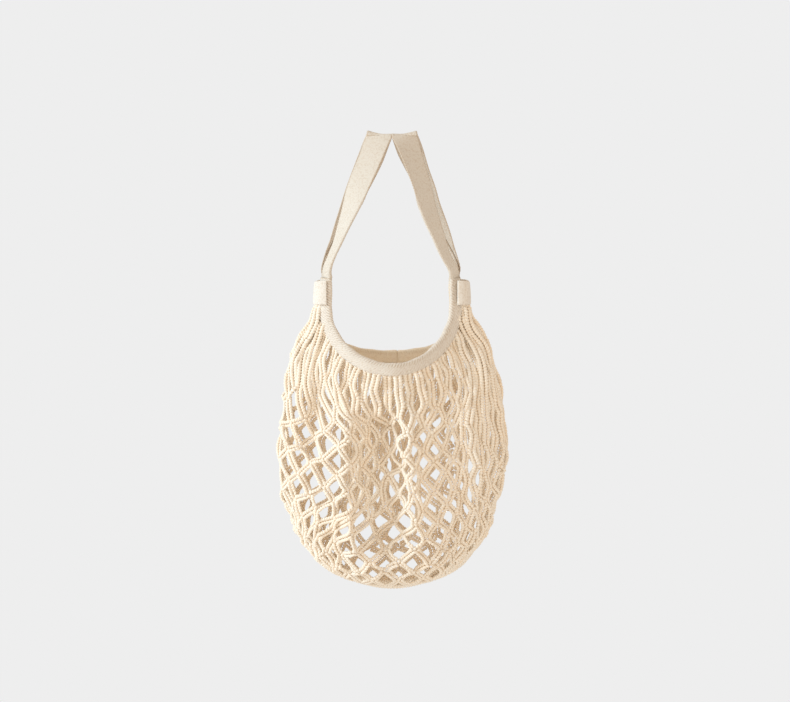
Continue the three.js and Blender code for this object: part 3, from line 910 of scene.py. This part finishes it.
LOWER_SPACING = table(("cords", "turn"), (
    (0, 0),
    (0.35, 0.31),
    (0.65, 0.69),
    (1, 1),
))
LEFT_TAB_CORDS = 0.1
RIGHT_TAB_CORDS = 0.14
HANG_FREE = 0.3
LOWER_RUN = (0.5, 0.8)
SHUT_RIGHT = {"most": 0.75, "half": (0.68, 0.84), "down": (0.36, 0.6)}
SHUT_LEFT = {"most": 0.75, "half": (0.12, 0.28), "down": (0.14, 0.32)}
SHUT_FRONT = {"most": 0.8, "down": (0.1, 0.24)}
SHUT_BACK = {"most": 0.85, "down": (0.3, 0.5)}
SHUT_WIDTH = 0.24
print("outline rows:", len(NET_ROWS), "folds:", len(NET_FOLDS))

# %% Surface of the net


def fold_depth(face, across, down):
    depth = 0
    for fold in NET_FOLDS:
        if fold["face"] == face:
            away = (across - lerp(fold["top"], fold["foot"], down)) / fold["width"]
            ease = smoothstep(down, fold["from"], fold["from"] + FOLD_EASE)
            ease *= 1 - smoothstep(down, fold["to"] - FOLD_EASE, fold["to"])
            depth += BAG_HALF_DEPTH * fold["deep"] * ease * math.exp(-away * away)
    return depth


def hanging_point(turn, down):
    face = -1 if turn < 0.5 else 1
    across = -math.cos(2 * math.pi * turn)
    bulge = abs(math.sin(2 * math.pi * turn))
    roundness = lerp(TOP_ROUND, FOOT_ROUND, down)
    sag = max(1 - abs(across) ** roundness, 0) ** (1 / roundness)
    mouth_drop = FRONT_MOUTH_DROP if face < 0 else BACK_MOUTH_DROP
    side_top = MOUTH_TOP - NET_SIDE_START
    centre_top = MOUTH_TOP - mouth_drop - LEG_WIDTH - SLOT_EXIT
    side_height = lerp(side_top, NET_SIDE_FOOT, read_table(NET_ROWS, "side", down))
    centre_height = lerp(centre_top, NET_FOOT, read_table(NET_ROWS, "centre", down))
    depth = BAG_HALF_DEPTH * read_table(NET_ROWS, "depth", down) * bulge
    inward = fold_depth(face, across, down) * math.sqrt(bulge)
    return Vector((BAG_HALF_WIDTH * read_table(NET_ROWS, "width", down) * across,
                   face * (depth - inward), lerp(side_height, centre_height, sag)))


def mouth_edge(turn):
    """Where the net leaves the tape, which way it is tucked in, and which way it hangs."""
    face = -1 if turn < 0.5 else 1
    near_left = min(turn, 1 - turn)
    near_right = abs(turn - 0.5)

    def leave_rim(angle):
        point, across, *_ = rim_station(angle, face)
        leave = (-UP).lerp(-across, math.sin(angle)).normalized()
        return point - across * (LEG_WIDTH + SLOT_EXIT), across, leave

    if min(near_left, near_right) >= GATHER_SHARE:
        return leave_rim(2 * math.pi * near_left)
    side = LEFT if near_left < near_right else RIGHT
    away = min(near_left, near_right) / GATHER_SHARE
    last = 2 * math.pi * GATHER_SHARE
    corner, _, _ = leave_rim(last if side["sign"] < 0 else math.pi - last)
    tab_end = side["mouth"] + LEG_WIDTH - side["tab_lap"] + side["tab_run"]
    apex = tab_end - TAPE_THICKNESS - TAB_NET_ROOM
    foot = -STRAP_DROP - TAB_BELOW_JOINT - TAB_HEIGHT + TAB_NET_ROOM
    point = Vector((side["sign"] * lerp(apex, abs(corner.x), away**2), corner.y * away**0.8,
                    lerp(foot, corner.z, away**2)))
    return point, UP.copy(), -UP


known_edges = {}


def net_point(turn, down):
    place = turn - math.floor(turn)
    key = round(place, 5)
    if key not in known_edges:
        known_edges[key] = mouth_edge(place)
    point, _, leave = known_edges[key]
    drop = NET_SIDE_START - MOUTH_TOP + NET_FOOT
    straight = point - leave * (drop * down)
    sideness = math.cos(2 * math.pi * place) ** SIDE_POWER
    ease = smoothstep(down, 0, lerp(FADE_IN, SIDE_FADE_IN, sideness))
    return straight.lerp(hanging_point(place, down), ease)


def mouth_turn(share):
    """Place along half of the mouth, from 0 at the left tab to 1 at the right one."""
    held = 2 * GATHER_SHARE
    if share < LEFT_TAB_CORDS:
        return held * share / LEFT_TAB_CORDS
    if share > 1 - RIGHT_TAB_CORDS:
        return 1 - held * (1 - share) / RIGHT_TAB_CORDS
    free = (share - LEFT_TAB_CORDS) / (1 - LEFT_TAB_CORDS - RIGHT_TAB_CORDS)
    return lerp(held, 1 - held, free)


def half_way(share):
    """Whether a place round the bag is at the front, and how far it is from left to right."""
    place = share - math.floor(share)
    front = place < 0.5
    return front, 2 * place if front else 2 - 2 * place


def spaced_turn(share, down):
    """Place round the bag of a cord, given as a share of all cords: folds gather the cords."""
    front, half = half_way(share)
    upper = read_table(FRONT_SPACING if front else BACK_SPACING, "turn", half, "cords")
    lower = read_table(LOWER_SPACING, "turn", half, "cords")
    hanging = lerp(upper, lower, smoothstep(down, *LOWER_RUN))
    gathered = lerp(mouth_turn(half), hanging, smoothstep(down, 0, HANG_FREE)) / 2
    return gathered if front else 1 - gathered


def closed_share(turn, down):
    """How far the diamonds are pulled shut: at the right, under the left tab and the rims."""
    front, half = half_way(turn)

    def pulled(part, around):
        return part["most"] * around * (1 - smoothstep(down, *part["down"]))

    return max(
        pulled(SHUT_RIGHT, smoothstep(half, *SHUT_RIGHT["half"])),
        pulled(SHUT_LEFT, 1 - smoothstep(half, *SHUT_LEFT["half"])),
        pulled(SHUT_FRONT if front else SHUT_BACK, math.exp(-((half - 0.5) / SHUT_WIDTH) ** 2)),
    )


foot = net_point(0.25, 1)
print("foot of the net in mm:", [round(value / MM, 1) for value in foot])

# %% [markdown]
# ## The way each cord runs
# Each cord zigzags down the net. At one row it is joined to its left neighbour and at the next
# to its right one, and between two joins an open diamond is left. Where the net is pulled shut
# the cord runs straight, thicker and a little in front of or behind its neighbours. Chance, always
# the same because it is seeded, moves each join and rolls each cord, as in a real soft net.

# %% Routes of the cords
CORDS = 54
HALF_ROWS = 18
STEPS_A_ROW = 10
STITCH_PITCH = 3.6 * MM
CORD_WIDTH = 9.2 * MM
CORD_CROWD = 1.25
CORD_THINNEST = 0.62
CORD_SPREAD = 0.3
JOIN_HALF = 2 * MM
JOIN_PART = 0.4
JOIN_DRIFT = (2.2 * MM, 3.2 * MM, 3 * MM)
JOIN_SHARE = 0.06
JOIN_EASE = 0.04
EASE_MIX = 0.25
ROLL_MOST = 1.1
BOW_MOST = 2.4 * MM
RIM_PLEAT = 2.2 * MM
SHUT_PLEAT = 1.5 * MM
PLEAT_RUN = (0.02, 0.14)
SETTLED = 0.1
RIM_SWING = 0.35
DRIFT_FADE = (0.8, 0.96)
TURN_PROBE = 0.003
DOWN_PROBE = 0.004
chance = random.Random(11)


def make_joins():
    joins = {}
    for column in range(CORDS):
        for row in range(HALF_ROWS + 1):
            joins[column, row] = tuple(chance.uniform(-1, 1) for _ in range(3))
    return joins


joins = make_joins()


def join_swing(share):
    """How far a cord has moved from one join to the next: nearly straight, eased at both."""
    straight = min(max((share - JOIN_SHARE) / (1 - 2 * JOIN_SHARE), 0), 1)
    return lerp(straight, smoothstep(share, JOIN_EASE, 1 - JOIN_EASE), EASE_MIX)


def net_frame(turn, down):
    """A point of the net, the ways onward and downward from it, and the room for one cord."""
    point = net_point(turn, down)
    onward = net_point(turn + TURN_PROBE, down) - net_point(turn - TURN_PROBE, down)
    downward = net_point(turn, down + DOWN_PROBE) - net_point(turn, max(down - DOWN_PROBE, 0))
    room = onward.length / (2 * TURN_PROBE) / CORDS
    return point, onward.normalized(), downward.normalized(), room


def cord_route(cord):
    """Places down one cord: point, way out, roll and how narrow it is."""
    places = []
    pleat_side = 1 if cord % 2 else -1
    for row in range(HALF_ROWS):
        roll_peak = chance.uniform(-ROLL_MOST, ROLL_MOST)
        bow_peak = chance.uniform(-BOW_MOST, BOW_MOST)
        here = cord if (cord + row) % 2 == 0 else cord + 1
        there = cord if (cord + row + 1) % 2 == 0 else cord + 1
        drift_here = joins[here % CORDS, row]
        drift_there = joins[there % CORDS, row + 1]
        side_here = 1 if here == cord else -1
        side_there = 1 if there == cord else -1
        for step in range(STEPS_A_ROW):
            share = step / STEPS_A_ROW
            down = (row + share) / HALF_ROWS
            swing = join_swing(share)
            settle = smoothstep(down, 0, SETTLED)
            shut = closed_share((cord + 0.5) / CORDS, down)
            fade = settle * (1 - smoothstep(down, *DRIFT_FADE)) * (1 - 0.5 * shut)
            joined = lerp(here, there, swing)
            column = lerp(cord + 0.5, joined, lerp(RIM_SWING, 1, settle) * (1 - shut))
            point, onward, downward, room = net_frame(spaced_turn(column / CORDS, down), down)
            out = downward.cross(onward).normalized()
            beside = lerp(side_here, side_there, swing) * min(JOIN_HALF, room * JOIN_PART)
            beside *= 1 - shut
            drift = [lerp(a, b, swing) * most * fade
                     for a, b, most in zip(drift_here, drift_there, JOIN_DRIFT)]
            pleat = RIM_PLEAT * (1 - smoothstep(down, *PLEAT_RUN)) + SHUT_PLEAT * shut
            pleat *= pleat_side * smoothstep(down, 0, PLEAT_RUN[0])
            wave = math.sin(math.pi * share)
            point = point + onward * (beside + drift[0]) + downward * drift[1]
            places.append({
                "point": point + out * (drift[2] + bow_peak * wave * fade + pleat),
                "out": out, "roll": roll_peak * wave * fade,
                "narrow": min(max(room * CORD_CROWD / CORD_WIDTH, CORD_THINNEST),
                              1 + CORD_SPREAD * shut),
            })
    return places


def add_tuck(places, cord):
    """The first stretch of the cord, hidden in the slot of the tape."""
    point, way, _ = mouth_edge(spaced_turn((cord + 0.5) / CORDS, 0))
    first = places[0]
    start = dict(first, point=first["point"] + way * NET_TUCK, roll=0)
    middle = dict(first, point=first["point"] + way * (NET_TUCK / 2), roll=0)
    return [start, middle] + places


routes = [add_tuck(cord_route(cord), cord) for cord in range(CORDS)]
print("cords:", len(routes), "places on each:", len(routes[0]))

# %% [markdown]
# ## Stitches
# A knitted cord is a chain of V stitches, each drawn through the one before. Modelled one by one
# they would be thousands of copies, so one V is made as a small bmesh, two slim round legs, and
# Geometry Nodes sets a copy of it on every stitch point, turned to the cord's way and face. The
# copies are realized and applied, so what is left is one plain mesh.

# %% One V stitch
LEG_LONG = 6.1 * MM
LEG_WIDE = 4.1 * MM
LEG_DEEP = 4.5 * MM
LEG_TILT = math.radians(35)
LEG_OUT = 2.35 * MM
GROOVE_MIDDLE = 1.3 * MM
GROOVE_TIP = (1.2 * MM, 2.5 * MM)
TIP_SHADE = 0.5


def make_stitch():
    """A V of two legs, along +Y, facing +Z, with painted shade where each corner lies deep in its
    grooves.
    """
    bm = bmesh.new()
    for way in (-1, 1):
        made = bmesh.ops.create_uvsphere(bm, u_segments=6, v_segments=4, radius=0.5)["verts"]
        bmesh.ops.rotate(bm, verts=made, matrix=Matrix.Rotation(math.pi / 2, 3, "X"))
        bmesh.ops.scale(bm, verts=made, vec=(LEG_WIDE, LEG_LONG, LEG_DEEP))
        bmesh.ops.rotate(bm, verts=made, matrix=Matrix.Rotation(-way * LEG_TILT, 3, "Z"))
        bmesh.ops.translate(bm, verts=made, vec=(way * LEG_OUT, 0, 0))
    # Painted shade between the two legs and at their tips.
    groove_shade = bm.verts.layers.float.new("groove_shade")
    for vert in bm.verts:
        middle = 1 - smoothstep(abs(vert.co.x), 0, GROOVE_MIDDLE)
        tip = smoothstep(abs(vert.co.y), *GROOVE_TIP)
        vert[groove_shade] = min(middle + TIP_SHADE * tip, 1)
    stitch = object_from(bm, "stitch", cord_cotton)
    print("triangles in a stitch:", sum(len(face.vertices) - 2 for face in stitch.data.polygons))
    return stitch


stitch = make_stitch()

# %% Lay stitches along the cords
SHORTEST_RUN = 0.001 * MM
DEPTH_KEPT = 0.5
# Added to the tone of the back cords as painted warm shade on the inside of the net.
BACK_WARM_SHADE = 1.4
FOOT_SEAM_STEPS = 60
FOOT_SEAM_ROLL = 0.3
FOOT_SEAM_BROAD = 1.25


def stitch_points(places, warmth=0.0):
    """Evenly spaced stitches along a route, with their cord's tone; warmth adds painted warm shade.
    """
    tone = warmth + chance.random()
    laid = []
    spare = 0
    for before, after in zip(places, places[1:]):
        run = after["point"] - before["point"]
        length = run.length
        if length < SHORTEST_RUN:
            continue
        along = run.normalized()
        at = spare
        while at < length:
            share = at / length
            out = square_to(along, before["out"].lerp(after["out"], share))
            roll = lerp(before["roll"], after["roll"], share)
            side = along.cross(out)
            facing = out * math.cos(roll) + side * math.sin(roll)
            laid.append({
                "point": before["point"] + run * share, "along": -along, "facing": facing,
                "narrow": lerp(before["narrow"], after["narrow"], share), "tone": tone,
            })
            at += STITCH_PITCH
        spare = at - length
    return laid


def laying_group():
    group = bpy.data.node_groups.new("lay_stitches", "GeometryNodeTree")
    for in_out in ("INPUT", "OUTPUT"):
        group.interface.new_socket(name="Geometry", in_out=in_out,
                                   socket_type="NodeSocketGeometry")

    def named(name):
        node = group.nodes.new("GeometryNodeInputNamedAttribute")
        node.data_type = "FLOAT_VECTOR"
        return feed(group, node, Name=name).outputs["Attribute"]

    start = new_node(group, "NodeGroupInput")
    turned = new_node(group, "FunctionNodeAxesToRotation")
    turned.primary_axis = "Y"
    turned.secondary_axis = "Z"
    group.links.new(named("along"), turned.inputs[0])
    group.links.new(named("facing"), turned.inputs[1])
    shape = new_node(group, "GeometryNodeObjectInfo", Object=stitch)
    lay = new_node(group, "GeometryNodeInstanceOnPoints", Points=start.outputs["Geometry"],
                   Instance=shape.outputs["Geometry"], Rotation=turned.outputs["Rotation"],
                   Scale=named("size"))
    real = new_node(group, "GeometryNodeRealizeInstances", Geometry=lay.outputs["Instances"])
    new_node(group, "NodeGroupOutput", Geometry=real.outputs["Geometry"])
    return group


laying = laying_group()


def knit(name, stitches):
    bm = bmesh.new()
    vectors = {key: bm.verts.layers.float_vector.new(key) for key in ("along", "facing", "size")}
    tone = bm.verts.layers.float.new("tone")
    for item in stitches:
        vert = bm.verts.new(item["point"])
        vert[vectors["along"]] = item["along"]
        vert[vectors["facing"]] = item["facing"]
        vert[vectors["size"]] = Vector((item["narrow"], 1, lerp(item["narrow"], 1, DEPTH_KEPT)))
        vert[tone] = item["tone"]
    points = object_from(bm, name + "_points", cord_cotton)
    points.modifiers.new("lay", "NODES").node_group = laying
    evaluated = points.evaluated_get(bpy.context.evaluated_depsgraph_get())
    mesh = bpy.data.meshes.new_from_object(evaluated)
    mesh.name = name
    mesh.materials.clear()
    mesh.materials.append(cord_cotton)
    piece = put_object(name, mesh)
    bpy.data.objects.remove(points)
    print(name, "stitches:", len(stitches),
          "triangles:", sum(len(face.vertices) - 2 for face in mesh.polygons))
    return piece


def seam_places():
    """The short closing seam along the foot of the net."""
    half = BAG_HALF_WIDTH * NET_ROWS[-1]["width"]
    side, centre = hanging_point(0, 1).z, hanging_point(0.25, 1).z
    places = []
    for step in range(FOOT_SEAM_STEPS + 1):
        across = lerp(-1, 1, step / FOOT_SEAM_STEPS)
        point = Vector((half * across, 0, lerp(side, centre, 1 - across * across)))
        places.append({"point": point, "out": Vector((0, -1, 0)), "roll": FOOT_SEAM_ROLL,
                       "narrow": FOOT_SEAM_BROAD})
    return places


quarters = {"front_left_net": [], "front_right_net": [], "back_right_net": [], "back_left_net": []}
for cord, route in enumerate(routes):
    quarter = list(quarters)[int(4 * (cord + 0.5) / CORDS)]
    # The back quarters get painted warm shade on the inside of the net.
    quarters[quarter] += stitch_points(route, BACK_WARM_SHADE if quarter.startswith("back") else 0)
quarters["front_left_net"] += stitch_points(seam_places())
net_pieces = [knit(name, stitches) for name, stitches in quarters.items()]
bpy.data.objects.remove(stitch)

# %% [markdown]
# ## Fit the pieces to the frame
# Every new piece stands for the solid of its own node and rides on the bag's one body. The tapes
# are sheets, bent from flat strips of their own width and length. The net has no flat cut.

# %% Ride and replace
for piece in net_pieces:
    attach(piece, "root")
    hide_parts("net_body")
TAPE_NODES = {
    "front_rim": "front_rim_tape", "back_rim": "back_rim_tape", "left_loop": "left_strap",
    "right_loop": "right_strap", "left_tab": "left_side_tab", "right_tab": "right_side_tab",
}
for name, (piece, length) in {**rims, **straps, **tabs}.items():
    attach(piece, "root")
    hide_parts(TAPE_NODES[name])
